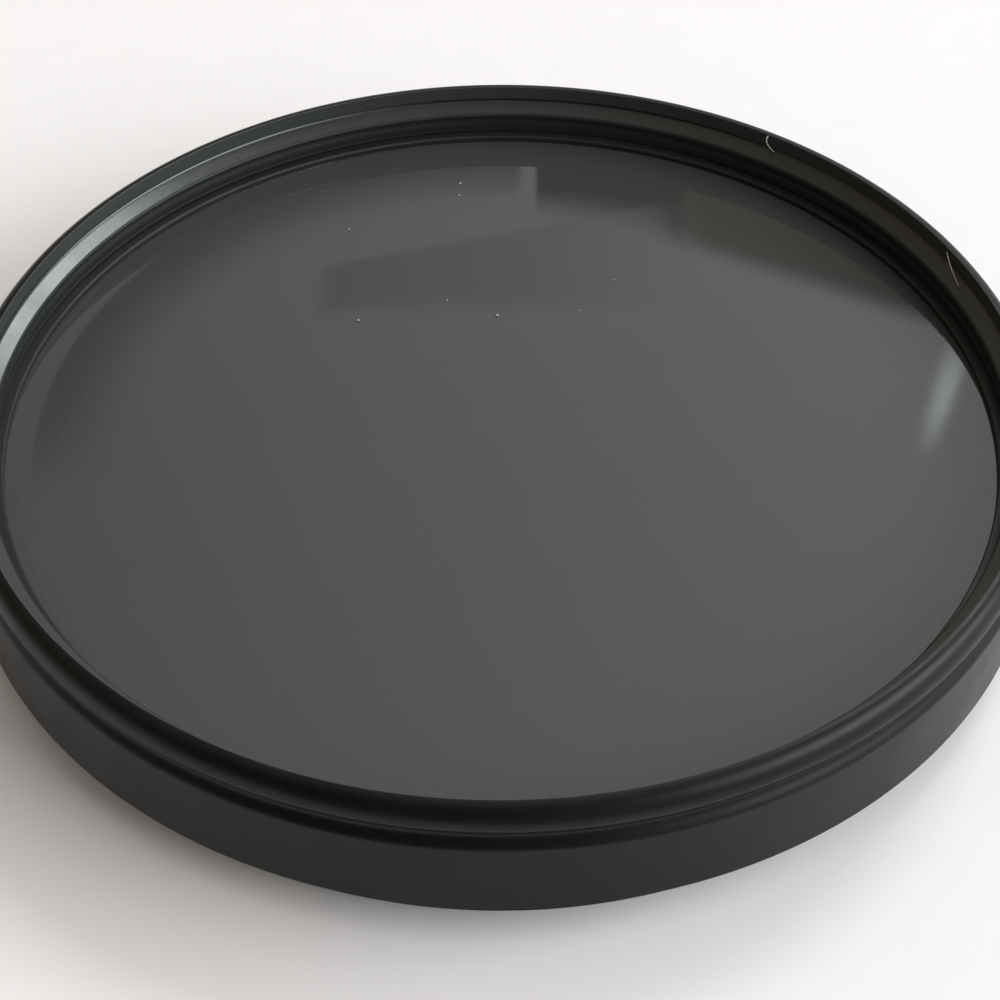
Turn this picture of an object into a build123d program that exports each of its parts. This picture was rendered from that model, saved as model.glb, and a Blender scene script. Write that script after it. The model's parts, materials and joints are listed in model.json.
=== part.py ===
"""Screw-in lens filter: a turned ring, a grey glass disc and the spring ring that holds it in.

The filter lies on the end of its rear thread, front side up. Z is its axis, and the
origin is the centre of the face that it rests on. All sizes are in millimetres.
"""
import os

from build123d import *

# Filter thread, the same size at the front and at the rear
thread_d = 52.0
thread_pitch = 0.75
thread_clearance = 0.05

# Rear thread and the undercut in its corner
rear_thread_length = 2.2
rear_lead_chamfer = 0.35
undercut_width = 0.4
undercut_below_root = 0.1
undercut_into_face = 0.15
undercut_past_crest = 0.15

# Ring, outside
rim_wall = 1.35
shoulder_radius = 0.5
rim_land_min = 0.2
grip_groove_below_rim = 1.8
grip_groove_width = 0.9
grip_groove_depth = 0.35
lower_edge_chamfer = 0.25

# Ring, inside
counterbore_over_thread = 0.5
counterbore_depth = 0.9
lead_in_length = 0.4
front_thread_length = 1.1
pocket_step = 0.27
seat_web = 1.95
seat_width = 1.0
seat_edge_chamfer = 0.1
rear_bore_chamfer = 0.2

# Glass disc
glass_thickness = 2.0
glass_clearance = 0.05
glass_bevel = 0.08
glass_proud = 0.05

# Spring ring that snaps into a groove over the glass
ring_thickness = 0.35
ring_width = 0.76
ring_gap = 2.5
ring_inner_bevel = 0.08
ring_edge_chamfer = 0.05
groove_depth = 0.3
groove_clearance = 0.05
ring_float = 0.07

# ISO metric threads: the crest of the inner thread and the root of the outer one
inner_crest_r = thread_d / 2 - 0.5413 * thread_pitch
outer_root_r = thread_d / 2 - 0.6134 * thread_pitch
rear_thread_r = thread_d / 2 - thread_clearance

# Radii
outer_r = thread_d / 2 + rim_wall
counterbore_r = thread_d / 2 + counterbore_over_thread
groove_r = inner_crest_r + groove_depth
pocket_r = inner_crest_r - pocket_step
rear_bore_r = pocket_r - seat_width
undercut_r = outer_root_r - undercut_below_root
undercut_face_r = rear_thread_r + undercut_past_crest
glass_r = pocket_r - glass_clearance
ring_outer_r = groove_r - groove_clearance
ring_inner_r = ring_outer_r - ring_width
shoulder_r = min(shoulder_radius, rim_wall - counterbore_over_thread - rim_land_min)

# Heights above the face that the filter rests on
lens_face_z = rear_thread_length
undercut_low_z = lens_face_z - undercut_width
undercut_high_z = lens_face_z + undercut_into_face
seat_z = lens_face_z + seat_web
glass_top_z = seat_z + glass_thickness
groove_low_z = glass_top_z - glass_proud
ring_top_z = glass_top_z + ring_thickness
groove_high_z = ring_top_z + ring_float
thread_top_z = groove_high_z + front_thread_length
lead_in_top_z = thread_top_z + lead_in_length
rim_z = lead_in_top_z + counterbore_depth
grip_groove_z = rim_z - grip_groove_below_rim


def turned(outline):
    """Turn a closed outline of the XZ plane, X being the radius, into a solid of revolution."""
    return revolve(make_face(outline), axis=Axis.Z)


def filter_frame():
    """The one-piece ring: rear thread, lens face, grip groove, front thread and glass pocket."""
    grip_start = (outer_r, 0, grip_groove_z - grip_groove_width / 2)
    grip_middle = (outer_r - grip_groove_depth, 0, grip_groove_z)
    grip_end = (outer_r, 0, grip_groove_z + grip_groove_width / 2)
    shoulder_start = (outer_r, 0, rim_z - shoulder_r)
    shoulder_end = (outer_r - shoulder_r, 0, rim_z)
    outside = Polyline(
        (rear_bore_r, 0, rear_bore_chamfer),
        (rear_bore_r + rear_bore_chamfer, 0, 0),
        (rear_thread_r - rear_lead_chamfer, 0, 0),
        (rear_thread_r, 0, rear_lead_chamfer),
        (rear_thread_r, 0, undercut_low_z),
        (undercut_r, 0, undercut_low_z),
        (undercut_r, 0, undercut_high_z),
        (undercut_face_r, 0, undercut_high_z),
        (undercut_face_r, 0, lens_face_z),
        (outer_r - lower_edge_chamfer, 0, lens_face_z),
        (outer_r, 0, lens_face_z + lower_edge_chamfer),
        grip_start,
    )
    grip_groove = ThreePointArc(grip_start, grip_middle, grip_end)
    front_band = Line(grip_end, shoulder_start)
    shoulder = TangentArc(shoulder_start, shoulder_end, tangent=(0, 0, 1))
    inside = Polyline(
        shoulder_end,
        (counterbore_r, 0, rim_z),
        (counterbore_r, 0, lead_in_top_z),
        (inner_crest_r, 0, thread_top_z),
        (inner_crest_r, 0, groove_high_z),
        (groove_r, 0, groove_high_z),
        (groove_r, 0, groove_low_z),
        (pocket_r, 0, groove_low_z),
        (pocket_r, 0, seat_z),
        (rear_bore_r + seat_edge_chamfer, 0, seat_z),
        (rear_bore_r, 0, seat_z - seat_edge_chamfer),
        (rear_bore_r, 0, rear_bore_chamfer),
    )
    return turned(outside + grip_groove + front_band + shoulder + inside)


def filter_glass():
    """The plane grey disc on its seat, both rims ground to a bevel."""
    return turned(Polyline(
        (0, 0, seat_z),
        (glass_r - glass_bevel, 0, seat_z),
        (glass_r, 0, seat_z + glass_bevel),
        (glass_r, 0, glass_top_z - glass_bevel),
        (glass_r - glass_bevel, 0, glass_top_z),
        (0, 0, glass_top_z),
        close=True,
    ))


def retaining_ring():
    """The flat split ring that lies on the glass with its rim in the groove, its gap at -Y."""
    ring = turned(Polyline(
        (ring_inner_r, 0, glass_top_z),
        (ring_outer_r - ring_edge_chamfer, 0, glass_top_z),
        (ring_outer_r, 0, glass_top_z + ring_edge_chamfer),
        (ring_outer_r, 0, ring_top_z - ring_edge_chamfer),
        (ring_outer_r - ring_edge_chamfer, 0, ring_top_z),
        (ring_inner_r + ring_inner_bevel, 0, ring_top_z),
        (ring_inner_r, 0, ring_top_z - ring_inner_bevel),
        close=True,
    ))
    middle = Pos(0, -(ring_inner_r + ring_outer_r) / 2, (glass_top_z + ring_top_z) / 2)
    return ring - middle * Box(ring_gap, 2 * ring_width, 2 * ring_thickness)


os.makedirs("parts", exist_ok=True)
export_step(filter_frame(), "parts/filter_frame.step")
export_step(filter_glass(), "parts/filter_glass.step")
export_step(retaining_ring(), "parts/retaining_ring.step")
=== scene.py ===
"""Looks of the screw-in lens filter: fine meshes for its three pieces, dust, finishes, light and camera.

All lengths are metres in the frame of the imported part: Z is the filter's axis, front side up.
"""

import json
import math

import bpy
from mathutils import Matrix, Vector
from mathutils.geometry import interpolate_bezier


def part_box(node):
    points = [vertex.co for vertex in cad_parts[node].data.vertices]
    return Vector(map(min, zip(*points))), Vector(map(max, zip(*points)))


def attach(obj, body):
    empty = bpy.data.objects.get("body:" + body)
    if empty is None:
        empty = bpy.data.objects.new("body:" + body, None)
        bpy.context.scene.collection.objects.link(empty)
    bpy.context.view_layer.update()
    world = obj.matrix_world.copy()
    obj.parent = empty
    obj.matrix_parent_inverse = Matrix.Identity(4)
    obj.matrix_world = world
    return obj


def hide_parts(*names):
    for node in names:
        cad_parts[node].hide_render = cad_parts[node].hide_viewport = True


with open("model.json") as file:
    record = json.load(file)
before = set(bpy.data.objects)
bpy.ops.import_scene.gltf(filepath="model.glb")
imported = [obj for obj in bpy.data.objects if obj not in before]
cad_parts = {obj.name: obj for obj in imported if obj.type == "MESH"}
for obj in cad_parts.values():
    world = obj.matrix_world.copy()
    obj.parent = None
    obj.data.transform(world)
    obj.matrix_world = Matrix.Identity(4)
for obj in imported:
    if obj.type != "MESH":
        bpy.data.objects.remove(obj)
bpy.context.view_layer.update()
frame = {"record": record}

MM = 0.001
TURN = 2 * math.pi

# Sizes that the frame gives
mounts = {mount["name"]: mount for mount in frame["record"]["mounts"]}
frame_low, frame_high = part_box("filter_frame")
glass_low, glass_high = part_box("filter_glass")
ring_low, ring_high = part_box("retaining_ring")
outer_r = frame_high.x
glass_r = glass_high.x
ring_outer_r = ring_high.x
rim_z = frame_high.z
seat_z = glass_low.z
glass_top_z = glass_high.z
ring_top_z = ring_high.z
lens_face_z = mounts["lens_face"]["pos_m"][2]
rear_thread_r = mounts["rear_thread"]["dims"]["r_mm"] * MM
inner_crest_r = mounts["front_thread"]["dims"]["r_mm"] * MM

# Section of the ring, as in the solids
thread_d = 52.0 * MM
thread_pitch = 0.75 * MM
rear_lead_chamfer = 0.35 * MM
undercut_width = 0.4 * MM
undercut_below_root = 0.1 * MM
undercut_into_face = 0.15 * MM
undercut_past_crest = 0.15 * MM
grip_groove_below_rim = 1.8 * MM
grip_groove_width = 0.9 * MM
grip_groove_depth = 0.35 * MM
lower_edge_chamfer = 0.25 * MM
counterbore_over_thread = 0.5 * MM
counterbore_depth = 0.9 * MM
lead_in_length = 0.4 * MM
pocket_step = 0.27 * MM
seat_width = 1.0 * MM
seat_edge_chamfer = 0.1 * MM
rear_bore_chamfer = 0.2 * MM
glass_bevel = 0.08 * MM
glass_proud = 0.05 * MM
ring_width = 0.76 * MM
ring_gap = 2.5 * MM
ring_inner_bevel = 0.08 * MM
ring_edge_chamfer = 0.05 * MM
groove_depth = 0.3 * MM
ring_float = 0.07 * MM

# Radii and heights that follow from them
outer_root_r = thread_d / 2 - 0.6134 * thread_pitch
counterbore_r = thread_d / 2 + counterbore_over_thread
lead_in_top_z = rim_z - counterbore_depth
thread_top_z = lead_in_top_z - lead_in_length
grip_groove_z = rim_z - grip_groove_below_rim
groove_r = inner_crest_r + groove_depth
pocket_r = inner_crest_r - pocket_step
rear_bore_r = pocket_r - seat_width
undercut_r = outer_root_r - undercut_below_root
undercut_face_r = rear_thread_r + undercut_past_crest
ring_inner_r = ring_outer_r - ring_width
undercut_low_z = lens_face_z - undercut_width
undercut_high_z = lens_face_z + undercut_into_face
groove_low_z = glass_top_z - glass_proud
groove_high_z = ring_top_z + ring_float

# Fineness of the meshes
AROUND = 344
ARC_STEPS = 4
SHOULDER_STEPS = 14
GRIP_STEPS = 24
EDGE_ROUND = 0.035 * MM
SHOULDER_WIDTH = 0.8 * MM
SHOULDER_HEIGHT = 1.0 * MM
LIP_EASE = 0.3 * MM
LEDGE_EASE = 0.2 * MM
SUPPORT = 0.015 * MM
ROWS_PER_PITCH = 14

# Depth of the cut threads. The front one is kept shallow, because it hardly shows in the photograph.
rear_thread_depth = rear_thread_r - outer_root_r
front_thread_depth = 0.05 * MM
front_run_out = 0.3 * MM

# Places of the ring's finishes in its list of materials: satin outside and matt inside, and two copies of
# the black that paint light, a greyer one that paints the counterbore wall lighter and a glossier one that
# paints a brighter sheen on the ledge
SATIN, MATT, PAINTED_LIGHTER, PAINTED_SHEEN = 0, 1, 2, 3

# Dust and lint, by the pixels of the photograph where they show
SPECK_PIXELS = ((460, 184), (459, 196), (447, 301), (497, 316),
                (358, 321), (614, 280), (349, 230), (580, 311))
SPECK_SIZES = tuple(size * MM for size in (0.16, 0.13, 0.13, 0.2, 0.17, 0.12, 0.12, 0.11))
FIBRE_SIZE = 0.07 * MM
RIM_FIBRE = ((768, 136, rim_z - 0.05 * MM), (764, 142, rim_z - 0.2 * MM),
             (768, 146, rim_z - 0.5 * MM), (774, 152, rim_z - 0.9 * MM))
LEDGE_FIBRE = ((947, 252, rim_z - 0.22 * MM), (949, 266, rim_z - 0.45 * MM),
               (955, 277, rim_z - 0.7 * MM), (959, 287, rim_z - 1.0 * MM))

# Near and far edge of each painted reflection in the glass, by the pixels of the photograph where it shows
BACK_WALL_PIXELS = (((-80, 860), (1080, 860)), ((-80, 100), (1080, 100)))
WINDOW_PIXELS = (((905, 460), (935, 470)), ((945, 320), (985, 330)))
SHELF_PIXELS = (((533, 222), (690, 252)), ((533, 120), (690, 130)))
SHELF_END_PIXELS = (((645, 243), (940, 338)), ((655, 120), (975, 255)))
BOARD_PIXELS = (((310, 320), (720, 318)), ((312, 266), (720, 190)))
# How far in from the ring's inner edge the painted shade on the glass next to the far wall reaches, at its
# near, faded edge and at its far, dark edge
FAR_PAINTED_SHADE_SPAN = (6.5 * MM, 1.3 * MM)


def outline_points(corners):
    """Walk a closed (r, z) outline of corners (r, z, fillet, rows, finish): round each corner, and cut
    the stretch after it into rows. Returns [(r, z, edge, finish)], edge being 1 on a small round."""
    count = len(corners)
    bends = []
    for index, (r, z, fillet, _, _) in enumerate(corners):
        here = Vector((r, z))
        back = (Vector(corners[index - 1][:2]) - here).normalized()
        ahead = (Vector(corners[(index + 1) % count][:2]) - here).normalized()
        turn = math.pi - back.angle(ahead)
        bends.append((here, back, ahead, turn, fillet * math.tan(turn / 2)))
    points = []
    for index, (r, z, fillet, rows, finish) in enumerate(corners):
        if not fillet:
            points.append((r, z, 0.0, finish))
            continue
        here, back, ahead, turn, reach = bends[index]
        inward, side = (back + ahead).normalized(), (ahead - back).normalized()
        centre = here + inward * (fillet / math.cos(turn / 2))
        large = fillet > 0.1 * MM
        steps = SHOULDER_STEPS if large else ARC_STEPS
        for step in range(steps + 1):
            angle = turn * (step / steps - 0.5)
            spot = centre + fillet * (side * math.sin(angle) - inward * math.cos(angle))
            points.append((spot.x, spot.y, 0.0 if large else 1.0, finish))
        start = here + ahead * reach
        after, after_back, _, _, after_reach = bends[(index + 1) % count]
        stop = after + after_back * after_reach
        gap = (stop - start).length
        if gap > 4 * SUPPORT:
            lead = SUPPORT / gap
            shares = [lead] + [row / rows for row in range(1, rows)] + [1 - lead]
            points += [(*start.lerp(stop, share), 0.0, finish) for share in shares]
    return points


def thread_form(phase, crest, root):
    """Depth of a thread at a phase of its pitch, 0 on the crest's flat and 1 on the root's."""
    off_root = abs((phase % 1.0) - 0.5) * 2
    flank = min(max((1 - off_root - crest) / (1 - crest - root), 0.0), 1.0)
    return flank * flank * (3 - 2 * flank)


def frame_radius(r, z, angle):
    """Radius of the ring's surface, with the right-hand helix of both threads cut into the section."""
    phase = z / thread_pitch - angle / TURN
    if z <= undercut_low_z and r > outer_root_r:
        return min(r, rear_thread_r - rear_thread_depth * thread_form(phase, 0.125, 0.25))
    if z >= groove_high_z and r < counterbore_r:
        run_out = min((z - groove_high_z) / front_run_out, 1.0)
        depth = front_thread_depth * run_out * run_out * (3 - 2 * run_out)
        return max(r, inner_crest_r + depth * thread_form(phase, 0.25, 0.125))
    return r


def plain_radius(r, z, angle):
    return r


def mesh_object(name, vertices, faces, edges=None, finishes=None):
    """A smooth mesh object, with sharp edges where faces meet at a large angle."""
    mesh = bpy.data.meshes.new(name)
    mesh.from_pydata(vertices, [], faces)
    if edges:
        layer = mesh.attributes.new("edge", "FLOAT", "POINT")
        layer.data.foreach_set("value", edges)
    if finishes:
        mesh.polygons.foreach_set("material_index", finishes)
    mesh.shade_smooth()
    mesh.set_sharp_from_angle(angle=math.radians(38))
    piece = bpy.data.objects.new(name, mesh)
    bpy.context.scene.collection.objects.link(piece)
    return piece


def lathe(name, outline, radius=plain_radius):
    """Turn a closed outline about Z into a mesh of quads."""
    vertices, faces, edges, finishes = [], [], [], []
    rows = len(outline)
    for column in range(AROUND):
        angle = TURN * column / AROUND
        cosine, sine = math.cos(angle), math.sin(angle)
        for r, z, edge, _ in outline:
            reach = radius(r, z, angle)
            vertices.append((reach * cosine, reach * sine, z))
            edges.append(edge)
    for column in range(AROUND):
        here, there = column * rows, (column + 1) % AROUND * rows
        for row in range(rows):
            up = (row + 1) % rows
            faces.append((here + row, there + row, there + up, here + up))
            finishes.append(outline[row][3])
    return mesh_object(name, vertices, faces, edges, finishes)


def grip_groove_corners():
    """The round groove in the outer wall, upwards, with its lips eased into the wall."""
    span = grip_groove_width + 2 * LIP_EASE
    corners = []
    for step in range(GRIP_STEPS + 1):
        share = step / GRIP_STEPS - 0.5
        depth = grip_groove_depth * math.cos(math.pi * share) ** 2
        corners.append((outer_r - depth, grip_groove_z + span * share, 0, 1, SATIN))
    return corners


def shoulder_corners():
    """The rim's outer shoulder, upwards: the round of the solid, eased into a longer oval."""
    corners = []
    for step in range(SHOULDER_STEPS + 1):
        angle = math.pi / 2 * step / SHOULDER_STEPS
        r = outer_r - SHOULDER_WIDTH * (1 - math.cos(angle))
        z = rim_z - SHOULDER_HEIGHT * (1 - math.sin(angle))
        corners.append((r, z, 0, 1, SATIN))
    return corners


def build_frame():
    """The turned ring: edges rounded, a thread behind, a thread in front and matt black inside."""
    rear_rows = round(ROWS_PER_PITCH * (undercut_low_z - rear_lead_chamfer) / thread_pitch)
    front_rows = round(ROWS_PER_PITCH * (thread_top_z - groove_high_z) / thread_pitch)
    edge = EDGE_ROUND
    return lathe("turned_frame", outline_points([
        (rear_bore_r, rear_bore_chamfer, edge, 1, SATIN),
        (rear_bore_r + rear_bore_chamfer, 0, edge, 2, SATIN),
        (rear_thread_r - rear_lead_chamfer, 0, edge, 6, SATIN),
        (rear_thread_r, rear_lead_chamfer, edge, rear_rows, SATIN),
        (rear_thread_r, undercut_low_z, edge, 2, SATIN),
        (undercut_r, undercut_low_z, edge, 2, SATIN),
        (undercut_r, undercut_high_z, edge, 2, SATIN),
        (undercut_face_r, undercut_high_z, edge, 1, SATIN),
        (undercut_face_r, lens_face_z, edge, 3, SATIN),
        (outer_r - lower_edge_chamfer, lens_face_z, edge, 2, SATIN),
        (outer_r, lens_face_z + lower_edge_chamfer, 2 * edge, 6, SATIN),
        *grip_groove_corners(),
        *shoulder_corners(),
        # The rounded inner edge of the rim and the counterbore wall take the greyer copy of the black,
        # which paints them lighter
        (counterbore_r, rim_z, edge, 3, PAINTED_LIGHTER),
        # The ledge takes the glossier copy of the black, whose stronger specular paints the key lamp's
        # sheen on it brighter
        (counterbore_r, lead_in_top_z, LEDGE_EASE, 4, PAINTED_SHEEN),
        (inner_crest_r, thread_top_z, LEDGE_EASE, front_rows, MATT),
        (inner_crest_r, groove_high_z, edge, 2, MATT),
        (groove_r, groove_high_z, edge, 2, MATT),
        (groove_r, groove_low_z, edge, 2, MATT),
        (pocket_r, groove_low_z, edge, 3, MATT),
        (pocket_r, seat_z, edge, 2, MATT),
        (rear_bore_r + seat_edge_chamfer, seat_z, edge, 1, MATT),
        (rear_bore_r, seat_z - seat_edge_chamfer, edge, 6, MATT),
    ]), frame_radius)


def build_glass():
    """The plane disc: flat faces in a few rings about the axis, and a ground bevel at each rim."""
    rings, around = 12, AROUND // 2
    flat_r = glass_r - glass_bevel
    below = [(flat_r * ring / rings, seat_z) for ring in range(1, rings + 1)]
    rim = [(glass_r, seat_z + glass_bevel), (glass_r, glass_top_z - glass_bevel)]
    outline = below + rim + [(r, glass_top_z) for r, _ in reversed(below)]
    vertices, faces = [(0, 0, seat_z), (0, 0, glass_top_z)], []
    rows = len(outline)
    for column in range(around):
        angle = TURN * column / around
        vertices += [(r * math.cos(angle), r * math.sin(angle), z) for r, z in outline]
    for column in range(around):
        here, there = 2 + column * rows, 2 + (column + 1) % around * rows
        faces.append((0, there, here))
        faces += [(here + row, there + row, there + row + 1, here + row + 1) for row in range(rows - 1)]
        faces.append((1, here + rows - 1, there + rows - 1))
    return mesh_object("glass_disc", vertices, faces)


def build_ring():
    """The flat split ring, its inner edge bevelled and its square-cut ends at -Y."""
    edge = 0.5 * EDGE_ROUND
    outline = outline_points([
        (ring_inner_r, glass_top_z, edge, 4, SATIN),
        (ring_outer_r - ring_edge_chamfer, glass_top_z, edge, 1, SATIN),
        (ring_outer_r, glass_top_z + ring_edge_chamfer, edge, 2, SATIN),
        (ring_outer_r, ring_top_z - ring_edge_chamfer, edge, 1, SATIN),
        (ring_outer_r - ring_edge_chamfer, ring_top_z, edge, 4, SATIN),
        (ring_inner_r + ring_inner_bevel, ring_top_z, edge, 2, SATIN),
        (ring_inner_r, ring_top_z - ring_inner_bevel, edge, 1, SATIN),
    ])
    gap_angle = -math.pi / 2
    half_gap = ring_gap / 2
    gap_share = math.asin(half_gap / ring_inner_r)
    vertices, faces, edges = [], [], []
    rows = len(outline)
    for column in range(AROUND + 1):
        share = column / AROUND
        for r, z, worn, _ in outline:
            if column in (0, AROUND):
                swing = math.asin(half_gap / r)
            else:
                swing = gap_share
            angle = gap_angle + swing + (TURN - 2 * swing) * share
            vertices.append((r * math.cos(angle), r * math.sin(angle), z))
            edges.append(worn)
    for column in range(AROUND):
        here, there = column * rows, (column + 1) * rows
        for row in range(rows):
            up = (row + 1) % rows
            faces.append((here + row, there + row, there + up, here + up))
    faces.append(tuple(range(rows)))
    faces.append(tuple(AROUND * rows + row for row in reversed(range(rows))))
    return mesh_object("split_ring", vertices, faces, edges)


def new_material(name):
    material = bpy.data.materials.new(name)
    material.use_nodes = True
    tree = material.node_tree
    return material, tree, tree.nodes["Principled BSDF"]


def node(tree, kind, **settings):
    """Add a node. A setting that is a socket's name, with spaces for underscores, sets that input."""
    made = tree.nodes.new(kind)
    for key, value in settings.items():
        socket = made.inputs.get(key.replace("_", " "))
        if socket is not None:
            socket.default_value = value
        else:
            setattr(made, key, value)
    return made


def noise(tree, vector, size, detail=3.0, roughness=0.6):
    """Noise whose spots are about the given size."""
    made = node(tree, "ShaderNodeTexNoise", Scale=1 / size, Detail=detail, Roughness=roughness)
    tree.links.new(vector, made.inputs["Vector"])
    return made.outputs["Fac"]


def ramp(tree, source, start, end, low, high):
    """Map a value from start..end to low..high."""
    made = node(tree, "ShaderNodeMapRange", From_Min=start, From_Max=end, To_Min=low, To_Max=high)
    tree.links.new(source, made.inputs["Value"])
    return made.outputs["Result"]


def blend(tree, factor, first, second):
    """Mix two colours."""
    made = node(tree, "ShaderNodeMix", data_type="RGBA")
    made.inputs["A"].default_value = (*first, 1)
    made.inputs["B"].default_value = (*second, 1)
    tree.links.new(factor, made.inputs["Factor"])
    return made.outputs["Result"]


def times(tree, first, second):
    made = node(tree, "ShaderNodeMath", operation="MULTIPLY")
    tree.links.new(first, made.inputs[0])
    tree.links.new(second, made.inputs[1])
    return made.outputs[0]


def plus(tree, first, second):
    made = node(tree, "ShaderNodeMath", operation="ADD")
    tree.links.new(first, made.inputs[0])
    tree.links.new(second, made.inputs[1])
    return made.outputs[0]


def turned_coordinates(tree):
    """The place on the piece, and a vector of (radius, height), in which marks run round the axis."""
    place = node(tree, "ShaderNodeTexCoord").outputs["Object"]
    split = node(tree, "ShaderNodeSeparateXYZ")
    flat = node(tree, "ShaderNodeCombineXYZ")
    length = node(tree, "ShaderNodeVectorMath", operation="LENGTH")
    joined = node(tree, "ShaderNodeCombineXYZ")
    tree.links.new(place, split.inputs[0])
    tree.links.new(split.outputs["X"], flat.inputs["X"])
    tree.links.new(split.outputs["Y"], flat.inputs["Y"])
    tree.links.new(flat.outputs[0], length.inputs[0])
    tree.links.new(length.outputs["Value"], joined.inputs["X"])
    tree.links.new(split.outputs["Z"], joined.inputs["Y"])
    return place, joined.outputs[0]


def anodised(name, colour, worn, roughness, mark_size, mark_depth, index):
    """Black oxide on turned metal: marks of the tool round the axis, a fine grain, edges rubbed paler."""
    material, tree, shader = new_material(name)
    place, turned = turned_coordinates(tree)
    link = tree.links.new
    grain = noise(tree, place, 0.03 * MM)
    edge = node(tree, "ShaderNodeAttribute", attribute_name="edge").outputs["Fac"]
    scuffs = ramp(tree, noise(tree, place, 0.6 * MM, 5.0, 0.7), 0.45, 0.65, 0.0, 1.0)
    link(blend(tree, times(tree, edge, scuffs), colour, worn), shader.inputs["Base Color"])
    patches = ramp(tree, noise(tree, place, 2.5 * MM), 0.3, 0.7, roughness - 0.04, roughness + 0.04)
    link(plus(tree, patches, ramp(tree, grain, 0.3, 0.7, -0.03, 0.03)), shader.inputs["Roughness"])
    marks = node(tree, "ShaderNodeBump", Strength=1.0, Distance=mark_depth)
    link(noise(tree, turned, mark_size, 2.0), marks.inputs["Height"])
    fine = node(tree, "ShaderNodeBump", Strength=0.3, Distance=0.001 * MM)
    link(grain, fine.inputs["Height"])
    link(marks.outputs["Normal"], fine.inputs["Normal"])
    link(fine.outputs["Normal"], shader.inputs["Normal"])
    shader.inputs["IOR"].default_value = index
    shader.inputs["Specular Tint"].default_value = (0.93, 1.0, 0.95, 1)
    return material


def grey_glass():
    """Neutral grey glass with a thin film of dust and a few wiping smears."""
    material, tree, shader = new_material("grey_glass_disc")
    place = node(tree, "ShaderNodeTexCoord").outputs["Object"]
    film = noise(tree, place, 6 * MM, 6.0)
    tree.links.new(blend(tree, film, (0.13, 0.142, 0.137), (0.141, 0.153, 0.148)),
                   shader.inputs["Base Color"])
    tree.links.new(ramp(tree, film, 0.35, 0.75, 0.01, 0.04), shader.inputs["Roughness"])
    shader.inputs["Transmission Weight"].default_value = 0.7
    shader.inputs["IOR"].default_value = 1.52
    return material


def floor_finish():
    """Pale matt paper."""
    material, tree, shader = new_material("pale_floor")
    place = node(tree, "ShaderNodeTexCoord").outputs["Object"]
    tree.links.new(blend(tree, noise(tree, place, 3 * MM), (0.88, 0.88, 0.88), (0.91, 0.91, 0.91)),
                   shader.inputs["Base Color"])
    shader.inputs["Roughness"].default_value = 0.9
    shader.inputs["Specular IOR Level"].default_value = 0.1
    return material


# Camera, at the photograph's angle. Its aim is turned a little off the middle of the lens face.
PHOTO_PX = 1000
camera_lens = 90.0
camera_sensor = 36.0
camera_distance = 130.3 * MM
camera_elevation = math.radians(43.47)
aim_right = math.radians(-0.023)
aim_up = math.radians(-0.3)
camera_roll = math.radians(-0.232)


def build_camera():
    forward = Vector((0, math.cos(camera_elevation), -math.sin(camera_elevation)))
    right = Vector((1, 0, 0))
    up = right.cross(forward)
    place = Vector((0, 0, lens_face_z)) - camera_distance * forward
    aim = (forward + math.tan(aim_right) * right + math.tan(aim_up) * up).normalized()
    level = aim.cross(Vector((0, 0, 1))).normalized()
    upright = level.cross(aim)
    across = math.cos(camera_roll) * level + math.sin(camera_roll) * upright
    above = across.cross(aim)
    data = bpy.data.cameras.new("camera")
    data.lens = camera_lens
    data.sensor_width = camera_sensor
    data.clip_start = 1 * MM
    data.clip_end = 20
    made = bpy.data.objects.new("camera", data)
    turn = Matrix((across, above, -aim)).transposed()
    made.matrix_world = Matrix.Translation(place) @ turn.to_4x4()
    bpy.context.scene.collection.objects.link(made)
    bpy.context.scene.camera = made
    return made


def sight(x, y):
    """Unit vector from the camera through a pixel of the photograph."""
    focal = camera_lens / camera_sensor * PHOTO_PX
    middle = PHOTO_PX / 2
    ray = Vector((x - middle, middle - y, -focal))
    return (camera.matrix_world.to_3x3() @ ray).normalized()


def on_plane(x, y, height):
    """Where the sight of a pixel meets the level plane at a height."""
    eye, ray = camera.matrix_world.translation, sight(x, y)
    return eye + ray * ((height - eye.z) / ray.z)


def stage_sheet(name, edges, material):
    """A sheet of the set, which isn't part of the filter, between two edges of as many points each. U runs
    along the edges and V from the first to the second."""
    near, far = edges
    columns = len(near)
    mesh = bpy.data.meshes.new(name)
    mesh.from_pydata([*near, *far], [], [(column, column + 1, columns + column + 1, columns + column)
                                         for column in range(columns - 1)])
    layer = mesh.uv_layers.new(name="sheet")
    for loop, spot in zip(mesh.loops, layer.data):
        row, column = divmod(loop.vertex_index, columns)
        spot.uv = (column / (columns - 1), row)
    mesh.materials.append(material)
    sheet = bpy.data.objects.new(name, mesh)
    bpy.context.scene.collection.objects.link(sheet)
    return sheet


def only_mirrored(card):
    """Let nothing but reflections see a card of the set."""
    card.visible_camera = False
    card.visible_diffuse = False
    card.visible_transmission = False
    card.visible_shadow = False


def build_floor():
    half = 3.0
    edges = [[(-half, y, 0), (half, y, 0)] for y in (-half, half)]
    stage_sheet("floor", edges, floor_finish())


def build_painted_dark_reflections():
    """Black cards before the filter that only reflections see, one round the camera and one on the floor,
    out of the picture: they paint a dark reflection on the near side of the ring, and cast no shade."""
    left, right, below, above = -220 * MM, 60 * MM, -110 * MM, 45 * MM
    back = 2 * MM
    apron_near, apron_far, apron_z = -320 * MM, -46 * MM, 0.5 * MM
    material, _, shader = new_material("black_card")
    shader.inputs["Base Color"].default_value = (0.01, 0.01, 0.01, 1)
    shader.inputs["Roughness"].default_value = 0.9
    upright = [camera.matrix_world @ Vector((x, y, back))
               for x, y in ((left, below), (right, below), (right, above), (left, above))]
    level = [(x, y, apron_z) for x, y in ((left, apron_near), (right, apron_near), (right, apron_far),
                                          (left, apron_far))]
    only_mirrored(stage_sheet("camera_flag", [upright[:2], upright[:1:-1]], material))
    only_mirrored(stage_sheet("floor_flag", [level[:2], level[:1:-1]], material))


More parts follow.
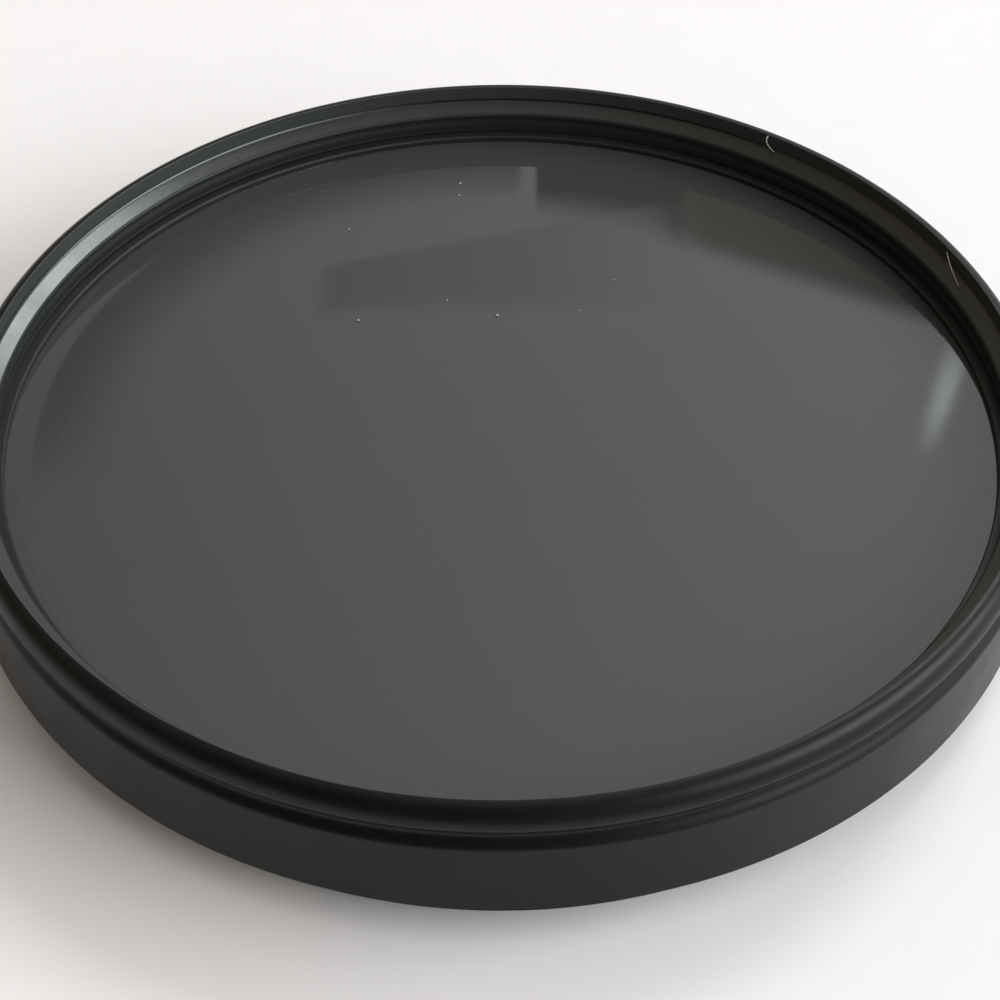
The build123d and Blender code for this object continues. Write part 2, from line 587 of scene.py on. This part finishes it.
def painted_reflection_finish(name, left, right, soft):
    """Plain light that runs from one colour to another, left to right. Soft gives the share of the card
    over which it fades out at its left, right, near and far edge."""
    material = bpy.data.materials.new(name)
    material.use_nodes = True
    tree = material.node_tree
    tree.nodes.clear()
    link = tree.links.new
    split = node(tree, "ShaderNodeSeparateXYZ")
    link(node(tree, "ShaderNodeTexCoord").outputs["UV"], split.inputs[0])
    cover = []
    for share, axis, side in zip(soft, "XXYY", (0, 1, 0, 1)):
        fade = node(tree, "ShaderNodeMapRange", interpolation_type="SMOOTHSTEP",
                    From_Min=side, From_Max=abs(side - share))
        link(split.outputs[axis], fade.inputs["Value"])
        cover.append(fade.outputs["Result"])
    glow = node(tree, "ShaderNodeEmission")
    link(blend(tree, split.outputs["X"], left, right), glow.inputs["Color"])
    mixed = node(tree, "ShaderNodeMixShader")
    link(times(tree, times(tree, *cover[:2]), times(tree, *cover[2:])), mixed.inputs[0])
    link(node(tree, "ShaderNodeBsdfTransparent").outputs[0], mixed.inputs[1])
    link(glow.outputs[0], mixed.inputs[2])
    link(mixed.outputs[0], node(tree, "ShaderNodeOutputMaterial").inputs["Surface"])
    return material


# Such a card glows but lights nothing: it paints a reflection into the glass
def painted_reflection_card(name, edges, distance, left, right, soft):
    """A card that only reflections see, set where the glass mirrors it. Its near and its far edge are
    rows of places on the glass, from left to right."""
    eye = camera.matrix_world.translation
    rows = []
    for edge in edges:
        rays = [(place - eye).normalized() for place in edge]
        rows.append([place + distance * Vector((ray.x, ray.y, -ray.z)) for place, ray in zip(edge, rays)])
    only_mirrored(stage_sheet(name, rows, painted_reflection_finish(name, left, right, soft)))


def glass_edges(edges):
    """The places on the glass that rows of pixels of the photograph show."""
    return [[on_plane(x, y, glass_top_z) for x, y in edge] for edge in edges]


def glass_arc(radius, start, stop):
    """Places on the glass along an arc about its middle, between two azimuths in degrees."""
    steps = 24
    angles = [math.radians(start + (stop - start) * step / steps) for step in range(steps + 1)]
    return [Vector((radius * math.cos(angle), radius * math.sin(angle), glass_top_z)) for angle in angles]


def build_dust():
    """Specks on the glass: small flattened lumps, at the places where the photograph shows them."""
    rows, around, flat = 5, 8, 0.6
    vertices, faces = [], []
    for (x, y), size in zip(SPECK_PIXELS, SPECK_SIZES):
        spot = on_plane(x, y, glass_top_z)
        first = len(vertices)
        for row in range(rows):
            tilt = math.pi * row / (rows - 1) - math.pi / 2
            reach = size / 2 * max(math.cos(tilt), 0.02)
            height = size / 2 * flat * (1 + math.sin(tilt))
            for column in range(around):
                angle = TURN * column / around
                vertices.append(spot + Vector((reach * math.cos(angle), reach * math.sin(angle), height)))
        for row in range(rows - 1):
            for column in range(around):
                here, there = first + row * around, first + row * around + around
                beside = (column + 1) % around
                faces.append((here + column, here + beside, there + beside, there + column))
    return mesh_object("dust_specks", vertices, faces)


def build_fibre(name, places):
    """A hair of lint: a thin round tube along a curve that four (x, y, height) places steer."""
    steps, around = 24, 6
    path = interpolate_bezier(*(on_plane(x, y, height) for x, y, height in places), steps)
    vertices, faces = [], []
    for index, spot in enumerate(path):
        along = (path[min(index + 1, steps - 1)] - path[max(index - 1, 0)]).normalized()
        side = along.orthogonal().normalized()
        other = along.cross(side)
        for column in range(around):
            angle = TURN * column / around
            vertices.append(spot + FIBRE_SIZE / 2 * (math.cos(angle) * side + math.sin(angle) * other))
    for row in range(steps - 1):
        here, there = row * around, (row + 1) * around
        for column in range(around):
            beside = (column + 1) % around
            faces.append((here + column, here + beside, there + beside, there + column))
    faces.append(tuple(reversed(range(around))))
    faces.append(tuple(range((steps - 1) * around, steps * around)))
    return mesh_object(name, vertices, faces)


def lint_finish():
    """Pale household dust."""
    material, _, shader = new_material("pale_lint")
    shader.inputs["Base Color"].default_value = (0.32, 0.31, 0.28, 1)
    shader.inputs["Roughness"].default_value = 0.9
    return material


def direction(azimuth, elevation):
    """Unit vector; azimuth in degrees from +X towards +Y."""
    a, e = math.radians(azimuth), math.radians(elevation)
    return Vector((math.cos(a) * math.cos(e), math.sin(a) * math.cos(e), math.sin(e)))


def softbox(name, azimuth, elevation, distance, width, height, radiance, colour):
    """A rectangular lamp that faces the filter. Radiance is its brightness, where white paper is 1."""
    lamp = bpy.data.lights.new(name, "AREA")
    lamp.shape = "RECTANGLE"
    lamp.size = width
    lamp.size_y = height
    lamp.energy = radiance * width * height * math.pi
    lamp.color = colour
    rig = bpy.data.objects.new(name, lamp)
    rig.location = distance * direction(azimuth, elevation)
    rig.rotation_euler = direction(azimuth, elevation).to_track_quat("Z", "Y").to_euler()
    bpy.context.scene.collection.objects.link(rig)


def build_world():
    """Soft light of a room: dim and warm on the left, brighter on the right, plain white to the camera."""
    world = bpy.data.worlds.new("room")
    bpy.context.scene.world = world
    world.use_nodes = True
    tree = world.node_tree
    link = tree.links.new
    along = node(tree, "ShaderNodeVectorMath", operation="DOT_PRODUCT")
    along.inputs[1].default_value = direction(0, 0)
    link(node(tree, "ShaderNodeTexCoord").outputs["Generated"], along.inputs[0])
    spread = node(tree, "ShaderNodeMapRange", interpolation_type="SMOOTHSTEP", From_Min=-0.5, From_Max=0.5)
    link(along.outputs["Value"], spread.inputs["Value"])
    glow = blend(tree, spread.outputs["Result"], (0.28, 0.22, 0.18), (0.76, 0.77, 0.78))
    seen = node(tree, "ShaderNodeMix", data_type="RGBA")
    seen.inputs["B"].default_value = (0.93, 0.93, 0.93, 1)
    link(node(tree, "ShaderNodeLightPath").outputs["Is Camera Ray"], seen.inputs["Factor"])
    link(glow, seen.inputs["A"])
    link(seen.outputs["Result"], tree.nodes["Background"].inputs["Color"])


camera = build_camera()
build_floor()
# Black cards that only reflections see, which paint a dark reflection on the near side of the ring
build_painted_dark_reflections()
build_world()
softbox("key", 56, 49, 1.2, 0.38, 0.38, 8.2, (1.0, 1.0, 1.0))
softbox("fill", -16, 28, 1.2, 1.3, 0.6, 5.7, (1.0, 1.0, 1.0))
# Glowing cards that only reflections see, which paint into the glass the reflections of a wall, a window
# strip, a dark shelf, the shelf's end and a board, and a dark card that paints shade on the glass next to
# the far wall
painted_reflection_card("back_wall", glass_edges(BACK_WALL_PIXELS), 0.7,
              (0.45, 0.46, 0.46), (1.42, 1.42, 1.4), (0.02, 0.02, 0.02, 0.02))
# A dark card that paints shade on the glass next to the far wall
painted_reflection_card("far_painted_shade", [glass_arc(ring_inner_r - inward, 195, 86) for inward in FAR_PAINTED_SHADE_SPAN], 0.65,
              (0.12, 0.12, 0.12), (0.15, 0.15, 0.15), (0.2, 0.02, 1.0, 0.02))
painted_reflection_card("window_strip", glass_edges(WINDOW_PIXELS), 0.6,
              (3.2, 3.4, 3.5), (3.2, 3.4, 3.5), (0.45, 0.45, 0.45, 0.45))
painted_reflection_card("shelf", glass_edges(SHELF_PIXELS), 0.6,
              (0.02, 0.02, 0.015), (0.03, 0.03, 0.02), (0.04, 0.1, 0.35, 0.05))
painted_reflection_card("shelf_end", glass_edges(SHELF_END_PIXELS), 0.62,
              (0.2, 0.16, 0.1), (0.13, 0.12, 0.1), (0.1, 0.1, 0.3, 0.05))
painted_reflection_card("board", glass_edges(BOARD_PIXELS), 0.6,
              (0.45, 0.47, 0.46), (0.95, 0.95, 0.94), (0.06, 0.5, 0.2, 0.12))

turned_frame = build_frame()
turned_frame.data.materials.append(
    anodised("satin_black", (0.004, 0.0046, 0.0043), (0.02, 0.02, 0.02), 0.38, 0.12 * MM, 0.001 * MM, 1.32))
turned_frame.data.materials.append(
    anodised("matt_black", (0.014, 0.0165, 0.0155), (0.02, 0.02, 0.02), 0.5, 0.12 * MM, 0.001 * MM, 1.36))
# A greyer copy of the black, which paints the rim's inner edge and the counterbore wall lighter
turned_frame.data.materials.append(
    anodised("black_painted_lighter", (0.036, 0.041, 0.038), (0.05, 0.05, 0.05), 0.45, 0.12 * MM, 0.001 * MM, 1.4))
# A glossier copy of the black with a stronger specular, which paints the key lamp's sheen on the ledge
# brighter
turned_frame.data.materials.append(
    anodised("black_painted_sheen", (0.008, 0.0092, 0.0088), (0.03, 0.03, 0.03), 0.25, 0.12 * MM, 0.001 * MM, 1.66))
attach(turned_frame, "root")
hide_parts("filter_frame")

glass_disc = build_glass()
glass_disc.data.materials.append(grey_glass())
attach(glass_disc, "root")
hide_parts("filter_glass")

split_ring = build_ring()
split_ring.data.materials.append(
    anodised("blackened_steel", (0.009, 0.01, 0.009), (0.015, 0.015, 0.015), 0.6,
             0.1 * MM, 0.001 * MM, 1.45))
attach(split_ring, "root")
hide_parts("retaining_ring")

lint = lint_finish()
for piece in (build_dust(), build_fibre("rim_fibre", RIM_FIBRE), build_fibre("ledge_fibre", LEDGE_FIBRE)):
    piece.data.materials.append(lint)
    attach(piece, "root")

bpy.context.scene.view_settings.view_transform = "Standard"
